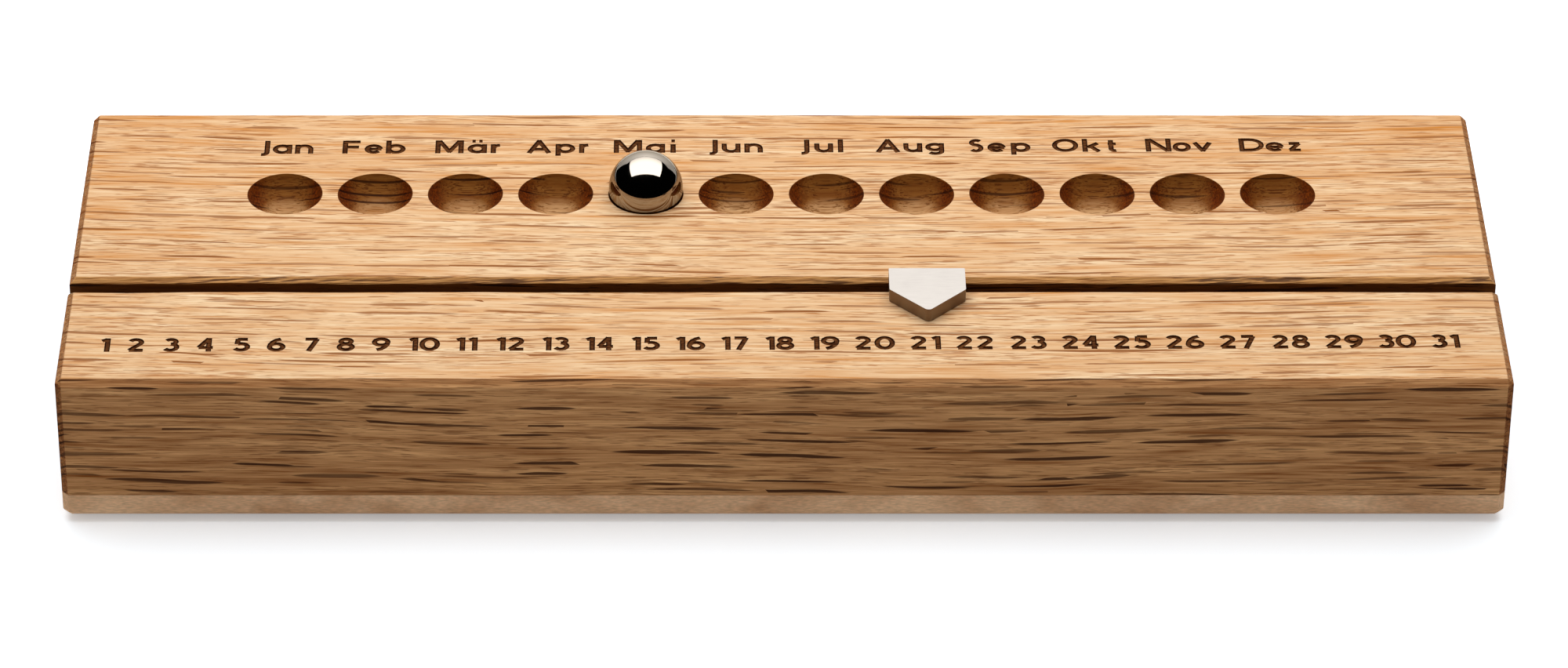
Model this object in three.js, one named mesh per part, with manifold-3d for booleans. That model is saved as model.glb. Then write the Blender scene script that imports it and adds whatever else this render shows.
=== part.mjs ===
// Perpetual desk calendar. Two oak bars stand on a pale hardwood base plate with a slot between them.
// A steel ball lies in one of twelve wells and marks the month, and a steel pointer slides along the
// slot and marks the day. Millimetres, +Z up, +X along the two rows, the day row towards -Y.
// Origin: the middle of the outline seen from above, at the level that the feet stand on.

import * as THREE from 'three';
import { mergeVertices } from 'three/addons/utils/BufferGeometryUtils.js';
import Module from 'manifold-3d';

const wasm = await Module();
wasm.setup();

// Block: the bars and the plate are glued up, then sawn and chamfered as one.
const blockLength = 300;
const frontBarDepth = 34.3;
const slotWidth = 3.8;
const rearBarDepth = 66.2;
const barHeight = 28.5;
const basePlateThickness = 5.6;
const edgeChamfer = 1.4;
const baseChamfer = 1.2;
const slotChamfer = 1.1;

// Ball, in the well of the fifth month.
const ballDiameter = 15.875;
const ballSeatClearance = 0.1;
const ballWellIndex = 4;

// Wells, cut in the middle of the rear bar with a round-nosed tool a little larger than the ball.
const wellCount = 12;
const wellPitch = 19.35;
const wellDepth = 6.3;
const wellNoseClearance = 0.29;

// Pointer plate: a square end over the slot and a right-angled point towards the day row.
const pointerWidth = 16;
const pointerSideLength = 8;
const pointerThickness = 3;
const pointerTipRadius = 1.1;
const pointerEdgeBevel = 0.2;
const pointerRestX = 30.2;
const pointerGlideGap = 0.1;

// Tongue that guides the pointer in the slot, and the two dowel pins that hold it to the plate.
const tongueWidth = 12;
const tongueDrop = 9;
const tongueLeadIn = 1;
const tongueRunningGap = 0.35;
const pinDiameter = 1.5;
const pinSpacing = 7;
const pinBiteInPlate = 2;
const pinEndChamfer = 0.2;
const pinClearance = 0.15;

// Countersunk wood screws, driven from below through the plate into the bars.
const screwShankDiameter = 3;
const screwHeadDiameter = 6;
const screwHeadRim = 0.3;
const screwHeadHeight = 1.8;
const screwLength = 16;
const screwPointLength = 3;
const screwHeadSink = 0.2;
const screwClearance = 0.3;
const recessSpan = 3.2;
const recessSlotWidth = 0.7;
const recessDepth = 1;
const screwPlaceShares = [-0.75, -0.25, 0.25, 0.75];

// Feet: felt discs stuck under the corners of the plate.
const footDiameter = 12;
const footThickness = 1.3;
const footEdgeChamfer = 0.2;
const footEndInset = 20;
const footSideInset = 14;

// How far a cutting tool runs past the surface that it starts from.
const overrun = 2;

// Steps round a full turn, and along an arc.
const ballSteps = 40;
const wellSteps = 32;
const wellArcSteps = 5;
const footSteps = 32;
const boreSteps = 16;
const tipArcSteps = 6;

const blockDepth = frontBarDepth + slotWidth + rearBarDepth;
const blockHeight = basePlateThickness + barHeight;
const plateUnderside = footThickness;
const plateTop = plateUnderside + basePlateThickness;
const blockTop = plateUnderside + blockHeight;
const slotMiddleY = -blockDepth / 2 + frontBarDepth + slotWidth / 2;
const frontBarMiddleY = (-blockDepth + frontBarDepth) / 2;
const rearBarMiddleY = (blockDepth - rearBarDepth) / 2;

const oak = new THREE.MeshStandardMaterial({ color: 0xe0b688, roughness: 0.6, metalness: 0 });
const maple = new THREE.MeshStandardMaterial({ color: 0xb08a66, roughness: 0.6, metalness: 0 });
const polishedSteel = new THREE.MeshStandardMaterial({ color: 0xd2d2d2, roughness: 0.05, metalness: 1 });
const satinSteel = new THREE.MeshStandardMaterial({ color: 0xcfccc6, roughness: 0.35, metalness: 1 });
const zincSteel = new THREE.MeshStandardMaterial({ color: 0xb4b4b0, roughness: 0.4, metalness: 1 });
const greyFelt = new THREE.MeshStandardMaterial({ color: 0x5a5650, roughness: 0.95, metalness: 0 });

// A closed three.js geometry as a solid that can be cut and joined.
function solidFrom(geometry) {
  geometry.deleteAttribute('normal');
  geometry.deleteAttribute('uv');
  const welded = mergeVertices(geometry);
  const mesh = new wasm.Mesh({
    numProp: 3,
    vertProperties: new Float32Array(welded.attributes.position.array),
    triVerts: new Uint32Array(welded.index.array),
  });
  return new wasm.Manifold(mesh);
}

// A solid back as a three.js geometry.
function geometryFrom(solid) {
  const mesh = solid.getMesh();
  const geometry = new THREE.BufferGeometry();
  geometry.setAttribute('position', new THREE.BufferAttribute(mesh.vertProperties, 3));
  geometry.setIndex(new THREE.BufferAttribute(mesh.triVerts, 1));
  geometry.computeVertexNormals();
  return geometry;
}

// A box between two corners.
function boxSolid(low, high) {
  const geometry = new THREE.BoxGeometry(high[0] - low[0], high[1] - low[1], high[2] - low[2]);
  geometry.translate((low[0] + high[0]) / 2, (low[1] + high[1]) / 2, (low[2] + high[2]) / 2);
  return solidFrom(geometry);
}

// A solid of revolution about +Z from points [radius, height] that start and end on the axis.
function turnedSolid(profile, steps) {
  const points = profile.map(([radius, height]) => new THREE.Vector2(radius, height));
  const geometry = new THREE.LatheGeometry(points, steps);
  geometry.rotateX(Math.PI / 2);
  return solidFrom(geometry);
}

// A rectangle with its upper and its lower corners cut at 45 degrees, centred on the origin.
function chamferedRectangle(width, height, upper, lower) {
  const x = width / 2;
  const y = height / 2;
  return new THREE.Shape([
    new THREE.Vector2(-x + lower, -y),
    new THREE.Vector2(x - lower, -y),
    new THREE.Vector2(x, -y + lower),
    new THREE.Vector2(x, y - upper),
    new THREE.Vector2(x - upper, y),
    new THREE.Vector2(-x + upper, y),
    new THREE.Vector2(-x, y - upper),
    new THREE.Vector2(-x, -y + lower),
  ]);
}

// An outline drawn in X and Y, given its thickness along Z, centred on the origin.
function prism(outline, thickness) {
  const geometry = new THREE.ExtrudeGeometry(outline, { depth: thickness, bevelEnabled: false });
  geometry.translate(0, 0, -thickness / 2);
  return geometry;
}

// The whole block with every outer edge chamfered: its plan, its front view and its end view meet.
function chamferedBlock() {
  const plan = prism(chamferedRectangle(blockLength, blockDepth, edgeChamfer, edgeChamfer), blockHeight);
  const front = prism(chamferedRectangle(blockLength, blockHeight, edgeChamfer, baseChamfer), blockDepth);
  front.rotateX(Math.PI / 2);
  const end = prism(chamferedRectangle(blockDepth, blockHeight, edgeChamfer, baseChamfer), blockLength);
  end.rotateX(Math.PI / 2);
  end.rotateZ(Math.PI / 2);
  const middleZ = plateUnderside + blockHeight / 2;
  return solidFrom(plan).intersect(solidFrom(front)).intersect(solidFrom(end)).translate(0, 0, middleZ);
}

// The tool that opens the slot: straight walls that flare at the top into the chamfers of both edges.
function slotCutter() {
  const half = slotWidth / 2;
  const flare = slotChamfer + overrun;
  const outline = new THREE.Shape([
    new THREE.Vector2(-half, plateUnderside - overrun),
    new THREE.Vector2(half, plateUnderside - overrun),
    new THREE.Vector2(half, blockTop - slotChamfer),
    new THREE.Vector2(half + flare, blockTop + overrun),
    new THREE.Vector2(-half - flare, blockTop + overrun),
    new THREE.Vector2(-half, blockTop - slotChamfer),
  ]);
  const geometry = prism(outline, blockLength + overrun);
  geometry.rotateX(Math.PI / 2);
  geometry.rotateZ(Math.PI / 2);
  geometry.translate(0, slotMiddleY, 0);
  return solidFrom(geometry);
}

// The round-nosed tool of one well, from the bottom of the well up past the top of the bar.
function wellCutter() {
  const noseRadius = ballDiameter / 2 + wellNoseClearance;
  const noseAngle = Math.acos(1 - wellDepth / noseRadius);
  const rimRadius = noseRadius * Math.sin(noseAngle);
  const profile = [];
  for (let step = 0; step <= wellArcSteps; step += 1) {
    const angle = (noseAngle * step) / wellArcSteps;
    profile.push([noseRadius * Math.sin(angle), noseRadius * (1 - Math.cos(angle)) - wellDepth]);
  }
  profile.push([rimRadius, overrun], [0, overrun]);
  return turnedSolid(profile, wellSteps).translate(0, rearBarMiddleY, blockTop);
}

function wellX(index) {
  return (index - (wellCount - 1) / 2) * wellPitch;
}

// A wood screw from its head, at height zero, up to its point. Grown by a gap it is its own hole,
// and then the head end is carried down through the face that it is driven from.
function screwProfile(gap, below) {
  const head = screwHeadDiameter / 2 + gap;
  const shank = screwShankDiameter / 2 + gap;
  return [
    [0, -below],
    [head, -below],
    [head, screwHeadRim],
    [shank, screwHeadHeight],
    [shank, screwLength - screwPointLength + gap],
    [0, screwLength + gap],
  ];
}

function screwPlaces() {
  const places = [];
  for (const barMiddleY of [frontBarMiddleY, rearBarMiddleY]) {
    for (const share of screwPlaceShares) {
      places.push([(share * blockLength) / 2, barMiddleY, plateUnderside + screwHeadSink]);
    }
  }
  return places;
}

// All eight screw holes, the countersinks in the plate and the pilot holes in the bars.
function screwHoleCutters() {
  return screwPlaces().map(([x, y, z]) =>
    turnedSolid(screwProfile(screwClearance, screwHeadSink + overrun), boreSteps).translate(x, y, z));
}

function basePlate() {
  const half = (blockLength + overrun) / 2;
  let plate = chamferedBlock().intersect(boxSolid([-half, -half, 0], [half, half, plateTop]));
  for (const cutter of screwHoleCutters()) {
    plate = plate.subtract(cutter);
  }
  return plate;
}

// One oak bar: the part of the block above the plate, between two planes across its depth.
function oakBar(lowY, highY) {
  const half = (blockLength + overrun) / 2;
  const region = boxSolid([-half, lowY, plateTop], [half, highY, blockTop + overrun]);
  let bar = chamferedBlock().intersect(region).subtract(slotCutter());
  for (const cutter of screwHoleCutters()) {
    bar = bar.subtract(cutter);
  }
  return bar;
}

function frontBar() {
  return oakBar(-blockDepth / 2 - overrun, slotMiddleY);
}

function rearBar() {
  let bar = oakBar(slotMiddleY, blockDepth / 2 + overrun);
  for (let index = 0; index < wellCount; index += 1) {
    bar = bar.subtract(wellCutter().translate(wellX(index), 0, 0));
  }
  return bar;
}

function baseScrew() {
  const reach = recessSpan / 2;
  const half = recessSlotWidth / 2;
  const alongX = boxSolid([-reach, -half, -overrun], [reach, half, recessDepth]);
  const alongY = boxSolid([-half, -reach, -overrun], [half, reach, recessDepth]);
  return turnedSolid(screwProfile(0, 0), boreSteps).subtract(alongX).subtract(alongY);
}

function foot() {
  const radius = footDiameter / 2;
  return turnedSolid([
    [0, 0],
    [radius - footEdgeChamfer, 0],
    [radius, footEdgeChamfer],
    [radius, footThickness],
    [0, footThickness],
  ], footSteps);
}

function monthBall() {
  const geometry = new THREE.SphereGeometry(ballDiameter / 2, ballSteps, ballSteps / 2);
  geometry.rotateX(Math.PI / 2);
  return solidFrom(geometry);
}

// The pointer's parts are drawn about the middle of the plate's square end, at the plate's underside.
// The plate lies towards -Y of that edge and the tongue hangs below it.
function pinHoles() {
  const radius = pinDiameter / 2 + pinClearance;
  const profile = [
    [0, -tongueDrop - overrun],
    [radius, -tongueDrop - overrun],
    [radius, pinBiteInPlate + pinClearance],
    [0, pinBiteInPlate + pinClearance],
  ];
  return pinXs().map((x) => turnedSolid(profile, boreSteps).translate(x, pinY(), 0));
}

function pinXs() {
  return [-pinSpacing / 2, pinSpacing / 2];
}

function tongueThickness() {
  return slotWidth - 2 * tongueRunningGap;
}

function pinY() {
  return -tongueThickness() / 2;
}

function pointerPlate() {
  const half = pointerWidth / 2;
  const tipY = -pointerSideLength - half;
  const arcMiddleY = tipY + pointerTipRadius * Math.SQRT2;
  const outline = new THREE.Shape();
  outline.moveTo(half, 0);
  outline.lineTo(-half, 0);
  outline.lineTo(-half, -pointerSideLength);
  outline.absarc(0, arcMiddleY, pointerTipRadius, (-3 * Math.PI) / 4, -Math.PI / 4, false);
  outline.lineTo(half, -pointerSideLength);
  outline.closePath();
  const geometry = new THREE.ExtrudeGeometry(outline, {
    depth: pointerThickness - 2 * pointerEdgeBevel,
    curveSegments: tipArcSteps,
    bevelThickness: pointerEdgeBevel,
    bevelSize: pointerEdgeBevel,
    bevelOffset: -pointerEdgeBevel,
    bevelSegments: 1,
  });
  geometry.translate(0, 0, pointerEdgeBevel);
  let plate = solidFrom(geometry);
  for (const hole of pinHoles()) {
    plate = plate.subtract(hole);
  }
  return plate;
}

// The tongue is an upright plate whose lower corners are cut off, so that it drops into the slot.
function pointerTongue() {
  const geometry = prism(chamferedRectangle(tongueWidth, tongueDrop, 0, tongueLeadIn), tongueThickness());
  geometry.rotateX(Math.PI / 2);
  geometry.translate(0, pinY(), -tongueDrop / 2);
  let tongue = solidFrom(geometry);
  for (const hole of pinHoles()) {
    tongue = tongue.subtract(hole);
  }
  return tongue;
}

function pointerPin() {
  const radius = pinDiameter / 2;
  const low = -tongueDrop + pinClearance;
  return turnedSolid([
    [0, low],
    [radius - pinEndChamfer, low],
    [radius, low + pinEndChamfer],
    [radius, pinBiteInPlate - pinEndChamfer],
    [radius - pinEndChamfer, pinBiteInPlate],
    [0, pinBiteInPlate],
  ], boreSteps);
}

function addPiece(parent, name, solid, material, x, y, z) {
  const mesh = new THREE.Mesh(geometryFrom(solid), material);
  mesh.name = name;
  mesh.position.set(x, y, z);
  parent.add(mesh);
}

const calendar = new THREE.Group();
const block = new THREE.Group();
const pointer = new THREE.Group();
calendar.add(block, pointer);

addPiece(block, 'base_plate', basePlate(), maple, 0, 0, 0);
addPiece(block, 'front_bar', frontBar(), oak, 0, 0, 0);
addPiece(block, 'rear_bar', rearBar(), oak, 0, 0, 0);

screwPlaces().forEach(([x, y, z], index) => {
  addPiece(block, `base_screw_${index + 1}`, baseScrew(), zincSteel, x, y, z);
});

for (const [endName, end] of [['left', -1], ['right', 1]]) {
  for (const [sideName, side] of [['front', -1], ['rear', 1]]) {
    const x = end * (blockLength / 2 - footEndInset);
    const y = side * (blockDepth / 2 - footSideInset);
    addPiece(block, `foot_${sideName}_${endName}`, foot(), greyFelt, x, y, 0);
  }
}

const ballX = wellX(ballWellIndex);
const ballMiddleZ = blockTop - wellDepth + ballSeatClearance + ballDiameter / 2;
addPiece(calendar, 'month_ball', monthBall(), polishedSteel, ballX, rearBarMiddleY, ballMiddleZ);

pointer.position.set(pointerRestX, slotMiddleY + tongueThickness() / 2, blockTop + pointerGlideGap);
addPiece(pointer, 'pointer_plate', pointerPlate(), satinSteel, 0, 0, 0);
addPiece(pointer, 'pointer_tongue', pointerTongue(), satinSteel, 0, 0, 0);
pinXs().forEach((x, index) => {
  addPiece(pointer, `pointer_pin_${['left', 'right'][index]}`, pointerPin(), zincSteel, x, pinY(), 0);
});

export default calendar;
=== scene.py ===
from functools import partial
from math import atan2, cos, pi, radians, sin, sqrt

import bpy
from mathutils import Matrix, Vector, noise


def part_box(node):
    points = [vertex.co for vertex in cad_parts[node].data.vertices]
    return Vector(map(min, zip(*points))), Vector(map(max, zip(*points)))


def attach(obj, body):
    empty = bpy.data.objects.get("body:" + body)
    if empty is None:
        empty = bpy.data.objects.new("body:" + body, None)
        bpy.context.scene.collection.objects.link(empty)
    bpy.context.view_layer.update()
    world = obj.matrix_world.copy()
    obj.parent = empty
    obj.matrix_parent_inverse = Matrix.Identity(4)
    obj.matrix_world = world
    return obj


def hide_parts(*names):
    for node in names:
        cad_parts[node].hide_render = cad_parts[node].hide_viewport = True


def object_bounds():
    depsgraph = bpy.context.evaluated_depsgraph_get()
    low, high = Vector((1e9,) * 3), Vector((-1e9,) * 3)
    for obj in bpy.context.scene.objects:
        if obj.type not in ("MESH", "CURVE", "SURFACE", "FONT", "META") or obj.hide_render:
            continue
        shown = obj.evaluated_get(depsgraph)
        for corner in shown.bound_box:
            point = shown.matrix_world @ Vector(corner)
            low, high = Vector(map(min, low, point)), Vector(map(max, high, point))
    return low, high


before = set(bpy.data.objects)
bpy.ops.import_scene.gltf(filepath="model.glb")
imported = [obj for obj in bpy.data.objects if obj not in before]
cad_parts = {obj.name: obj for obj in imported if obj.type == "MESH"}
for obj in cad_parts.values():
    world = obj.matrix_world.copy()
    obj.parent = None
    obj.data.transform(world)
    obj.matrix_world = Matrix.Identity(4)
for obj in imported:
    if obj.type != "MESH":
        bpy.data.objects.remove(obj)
cad_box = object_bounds()

# Camera: a long lens square to the block, looking down on it at 34 degrees from the reader's side.
# It stands a little left of the block's middle, and its shift brings the block back to mid-frame.
mm = 0.001
image_width_pixels = 2000
focal_length_pixels = 8156.7
camera_place = Vector((-15.19, -1132.87, 780.07)) * mm
camera_pitch = radians(34.136)
camera_shift = 0.04693
bpy.ops.object.camera_add(location=camera_place, rotation=(pi / 2 - camera_pitch, 0, 0))
camera = bpy.context.object
camera.data.sensor_width = 36
camera.data.lens = focal_length_pixels / image_width_pixels * camera.data.sensor_width
camera.data.shift_x = camera_shift
bpy.context.scene.camera = camera
bpy.context.scene.view_settings.view_transform = "Standard"

# Studio: a pale table, one large softbox overhead and a little behind the block, a pale backdrop up to
# the softbox's rear edge, and black cloth all round, which only the polished metal sees.


def linear(code):
    """An sRGB hex colour as linear red, green, blue and alpha."""
    parts = [int(code[place:place + 2], 16) / 255 for place in (1, 3, 5)]
    return tuple(p / 12.92 if p <= 0.04045 else ((p + 0.055) / 1.055) ** 2.4 for p in parts) + (1,)


def add_node(tree, kind, inputs=(), **settings):
    """Adds a node: its settings, then its inputs by place or name, each a value, a node or a socket.
    Every Mix node here mixes colours."""
    made = tree.nodes.new("ShaderNode" + kind)
    if kind == "Mix":
        made.data_type = "RGBA"
    for name, value in settings.items():
        setattr(made, name, value)
    pairs = inputs.items() if isinstance(inputs, dict) else enumerate(inputs)
    for key, value in pairs:
        if isinstance(value, bpy.types.Node):
            value = next(socket for socket in value.outputs if socket.enabled)
        if isinstance(value, bpy.types.NodeSocket):
            tree.links.new(value, made.inputs[key])
        else:
            made.inputs[key].default_value = value
    return made


def new_material(name):
    """An empty material, and the function that adds a node to it."""
    material = bpy.data.materials.new(name)
    material.use_nodes = True
    material.node_tree.nodes.clear()
    return material, partial(add_node, material.node_tree)


def seen_directly(add):
    """1 for what the camera, a mirror or glass sees, and 0 for the light that a surface gets."""
    path = add("LightPath")
    camera_ray = path.outputs["Is Camera Ray"]
    mirror_ray = path.outputs["Is Glossy Ray"]
    either = add("Math", (camera_ray, mirror_ray), operation="MAXIMUM")
    return add("Math", (either, path.outputs["Is Transmission Ray"]), operation="MAXIMUM")


def deselect():
    bpy.ops.object.select_all(action="DESELECT")


# White laminate table top: it is lit as a white surface is, and a lift in what the camera sees of it
# takes the part that lies in full light to white, while the block's shadow stays.
table_size = 8
table_lift = 0.3
table_gain = 1.48
material, add = new_material("white_laminate")
seen = seen_directly(add)
gain = add("MapRange", (seen, 0, 1, 1, table_gain))
laminate = add("Mix", {0: 1.0, 6: linear("#dfe5ea"), 7: gain}, blend_type="MULTIPLY")
matt = add("BsdfDiffuse", {"Color": laminate})
lift = add("Math", (seen, table_lift), operation="MULTIPLY")
glow = add("Emission", {"Strength": lift})
top_side = add("AddShader", (matt, glow))
clear = add("BsdfTransparent")
below = add("NewGeometry").outputs["Backfacing"]
sides = add("MixShader", (below, top_side, clear))
add("OutputMaterial", (sides,))
deselect()
bpy.ops.mesh.primitive_plane_add(size=table_size)
table_top = bpy.context.object
table_top.name = "studio_table"
table_top.data.materials.append(material)

# Softbox: its place and size follow from its reflection in the ball.
softbox_low = Vector((-0.55, -0.15, 0.6))
softbox_high = Vector((0.495, 0.75, 0.6))
softbox_radiance = 1.96
bpy.ops.object.light_add(type="AREA", location=(softbox_low + softbox_high) / 2)
softbox = bpy.context.object
softbox.data.shape = "RECTANGLE"
softbox.data.size = softbox_high.x - softbox_low.x
softbox.data.size_y = softbox_high.y - softbox_low.y
softbox.data.energy = softbox_radiance * pi * softbox.data.size * softbox.data.size_y
softbox.visible_camera = False


def studio_card(name, material, corners, faces):
    """A card or cloth that only reflections see."""
    mesh = bpy.data.meshes.new(name)
    mesh.from_pydata(corners, [], faces)
    card = bpy.data.objects.new(name, mesh)
    bpy.context.scene.collection.objects.link(card)
    mesh.materials.append(material)
    card.visible_camera = False
    card.visible_diffuse = False
    card.visible_shadow = False


# The softbox's front cloth is brighter in a mirror than its light on the block tells, except towards
# its rear edge.
softbox_face_radiance = 1.6
softbox_face_fade = 0.42
low, high = softbox_low, softbox_high
material, add = new_material("softbox_cloth")
depth = add("SeparateXYZ", (add("TexCoord").outputs["Object"],)).outputs["Y"]
glow = add("MapRange", (depth, high.y, high.y - softbox_face_fade, 0, softbox_face_radiance))
add("OutputMaterial", (add("Emission", {"Strength": glow}),))
corners = [(low.x, low.y, low.z + mm), (high.x, low.y, low.z + mm)]
corners += [(high.x, high.y, low.z + mm), (low.x, high.y, low.z + mm)]
studio_card("studio_softbox_face", material, corners, [(0, 1, 2, 3)])

# Pale backdrop, behind the table and up to the softbox, whose light on it falls off to all sides.
backdrop_head_radiance = 2.0
backdrop_edge_radiance = 0.75
backdrop_fall = 0.75
backdrop_y = 0.78
backdrop_low_x = -0.74
backdrop_high_x = 1.0
material, add = new_material("pale_paper")
place = add("TexCoord").outputs["Object"]
head = (0, backdrop_y, high.z)
away = add("VectorMath", (place, head), operation="DISTANCE")
radiances = (backdrop_head_radiance, backdrop_edge_radiance)
radiance = add("MapRange", (away.outputs["Value"], 0, backdrop_fall, *radiances))
add("OutputMaterial", (add("Emission", {"Strength": radiance}),))
corners = [(x, backdrop_y, 0) for x in (backdrop_low_x, backdrop_high_x)]
corners += [(x, backdrop_y, high.z) for x in (backdrop_high_x, backdrop_low_x)]
studio_card("studio_backdrop", material, corners, [(0, 1, 2, 3)])

# Black cloth: walls, ceiling and what lies on the table in front of the block and on both sides of it.
cloth_reach = 1.7
cloth_height = 0.9
cloth_lie = 0.0002
cloth_gap = 0.012
cloth_back_y = 0.5
material, add = new_material("black_cloth")
add("OutputMaterial", (add("BsdfDiffuse", {"Color": linear("#0a0a0a")}),))
corners = [
    (x * cloth_reach, y * cloth_reach, z)
    for z in (0, cloth_height)
    for x, y in ((-1, -1), (1, -1), (1, 1), (-1, 1))
]
faces = [(4, 5, 6, 7), (0, 1, 5, 4), (1, 2, 6, 5), (2, 3, 7, 6), (3, 0, 4, 7)]
studio_card("studio_cloth", material, corners, faces)
block_low, block_high = (Vector(corner) for corner in cad_box)
front_y = block_low.y - cloth_gap
left_x = block_low.x - cloth_gap
right_x = block_high.x + cloth_gap
corners = [
    (x, y, cloth_lie)
    for low_x, low_y, high_x, high_y in (
        (-cloth_reach, -cloth_reach, cloth_reach, front_y),
        (-cloth_reach, front_y, left_x, cloth_back_y),
        (right_x, front_y, cloth_reach, cloth_back_y),
    )
    for x, y in ((low_x, low_y), (high_x, low_y), (high_x, high_y), (low_x, high_y))
]
studio_card("studio_floor_cloth", material, corners, [(0, 1, 2, 3), (4, 5, 6, 7), (8, 9, 10, 11)])

world = bpy.data.worlds.new("studio")
world.use_nodes = True
world.node_tree.nodes.clear()
add = partial(add_node, world.node_tree)
world_fill = 0.42
strength = add("Math", (seen_directly(add), world_fill), operation="MAXIMUM")
add("OutputWorld", (add("Background", {"Strength": strength}),))
bpy.context.scene.world = world

# Base plate: one board of a pale, fine-pored hardwood, 5.6 mm thick, sanded. Both oak bars are glued
# and screwed to it, and its corners and lower edges are chamfered together with them.
edge_chamfer = 1.4 * mm
base_chamfer = 1.2 * mm
edge_softness = 0.16 * mm
sharpest_soft_angle = radians(25)
touch = 0.01 * mm


def block(name, low, high):
    """A box between two corners, with its place in its mesh."""
    deselect()
    bpy.ops.mesh.primitive_cube_add(size=1, location=(low + high) / 2)
    piece = bpy.context.object
    piece.name = name
    piece.scale = high - low
    bpy.ops.object.transform_apply()
    return piece


def level(a, b, height):
    return abs(a - height) < touch and abs(b - height) < touch


def pick(piece):
    """Selects this piece alone and makes it the one that is worked on."""
    deselect()
    piece.select_set(True)
    bpy.context.view_layer.objects.active = piece


def edit_mode(kind=None, selection="DESELECT"):
    """Goes into edit mode and, where a kind of part is given, selects none of that kind, or all."""
    bpy.ops.object.mode_set(mode="EDIT")
    if kind:
        bpy.ops.mesh.select_mode(type=kind)
        bpy.ops.mesh.select_all(action=selection)


def object_mode():
    bpy.ops.object.mode_set(mode="OBJECT")


def edit_edges(piece, wanted):
    """Goes into edit mode with only the edges whose two ends pass the test selected."""
    pick(piece)
    edit_mode("EDGE")
    object_mode()
    points = piece.data.vertices
    for edge in piece.data.edges:
        start, end = (points[index].co for index in edge.vertices)
        edge.select = wanted(start, end)
    edit_mode()


def chamfer_edges(piece, width, wanted):
    """Cuts the edges that pass the test at 45 degrees."""
    edit_edges(piece, wanted)
    bpy.ops.mesh.bevel(offset=width, segments=1, affect="EDGES")
    object_mode()


def apply_modifier(piece, modifier):
    """Applies it; until then it is switched off, because every operator would work it out again."""
    modifier.show_viewport = False
    pick(piece)
    bpy.ops.object.modifier_apply(modifier=modifier.name)


def soften(piece, width, segments=2):
    """Rounds what edges are left, as handling and sandpaper do."""
    bevel = piece.modifiers.new("soften", "BEVEL")
    bevel.width = width
    bevel.segments = segments
    bevel.limit_method = "ANGLE"
    bevel.angle_limit = sharpest_soft_angle
    apply_modifier(piece, bevel)


def blotches(add, place, lengths, detail=2, **more):
    """Soft random blotches, about as large along X, Y and Z as these lengths."""
    stretched = add("VectorMath", (place, lengths), operation="DIVIDE")
    return add("TexNoise", {"Vector": stretched, "Scale": 1, "Detail": detail, **more})


def hardwood():
    """Sanded diffuse-porous hardwood in millimetres: hardly any figure, soft clouds where the fibres
    lean, and short fine pore marks that give it a speckled, matt look."""
    material, add = new_material("sanded_pale_hardwood")
    place = add("TexCoord").outputs["Object"]
    clouds = blotches(add, place, (16 * mm, 9 * mm, 6 * mm), Distortion=0.6)
    pores = blotches(add, place, (1.5 * mm, 0.3 * mm, 0.3 * mm))
    tone = add("MapRange", (clouds, 0.3, 0.7, 0, 1))
    wood = add("Mix", {0: tone, 6: linear("#d29d6f"), 7: linear("#f8c99b")})
    speckle = add("MapRange", (pores, 0.3, 0.7, 0.8, 1.15))
    wood = add("Mix", {0: 1.0, 6: wood, 7: speckle}, blend_type="MULTIPLY")
    bump = add("Bump", {"Strength": 0.4, "Distance": 0.05 * mm, "Height": pores})
    shader = add("BsdfPrincipled", {
        "Base Color": wood, "Roughness": 0.65, "Specular IOR Level": 0.35, "Normal": bump,
    })
    add("OutputMaterial", (shader,))
    return material


low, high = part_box("base_plate")
base_plate = block("hardwood_base_plate", low, high)
chamfer_edges(base_plate, edge_chamfer, lambda a, b: level(a.x, b.x, a.x) and level(a.y, b.y, a.y))
chamfer_edges(base_plate, base_chamfer, lambda a, b: level(a.z, b.z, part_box("base_plate")[0].z))
soften(base_plate, edge_softness)
base_plate.data.materials.append(hardwood())
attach(base_plate, "block")
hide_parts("base_plate")

# Front bar: solid oak in front of the slot, planed, glued to the base plate and then chamfered with
# it. The rays of this rift-sawn oak show as dark lines, up to 30 mm long, on both its top and its
# front, and between them lie open pores, some 5 mm long.
slot_chamfer = 1.1 * mm
edge_cuts = 100
edge_wobble = 0.16 * mm
edge_wobble_length = 9 * mm


def weld(distance, outwards=False):
    """Merges the points that lie this close together, turns the faces outwards if asked, and leaves
    edit mode."""
    bpy.ops.mesh.select_all(action="SELECT")
    bpy.ops.mesh.remove_doubles(threshold=distance)
    if outwards:
        bpy.ops.mesh.normals_make_consistent(inside=False)
    object_mode()


def carve(piece, cutter, overlapping=False):
    """Cuts the cutter's shape out of the piece, takes over the finish of its faces and removes it."""
    cut = piece.modifiers.new("carve", "BOOLEAN")
    cut.operation = "DIFFERENCE"
    cut.solver = "EXACT"
    cut.use_self = overlapping
    cut.material_mode = "TRANSFER"
    cut.object = cutter
    apply_modifier(piece, cut)
    bpy.data.objects.remove(cutter)
    edit_mode()
    weld(touch / 50)


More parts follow.
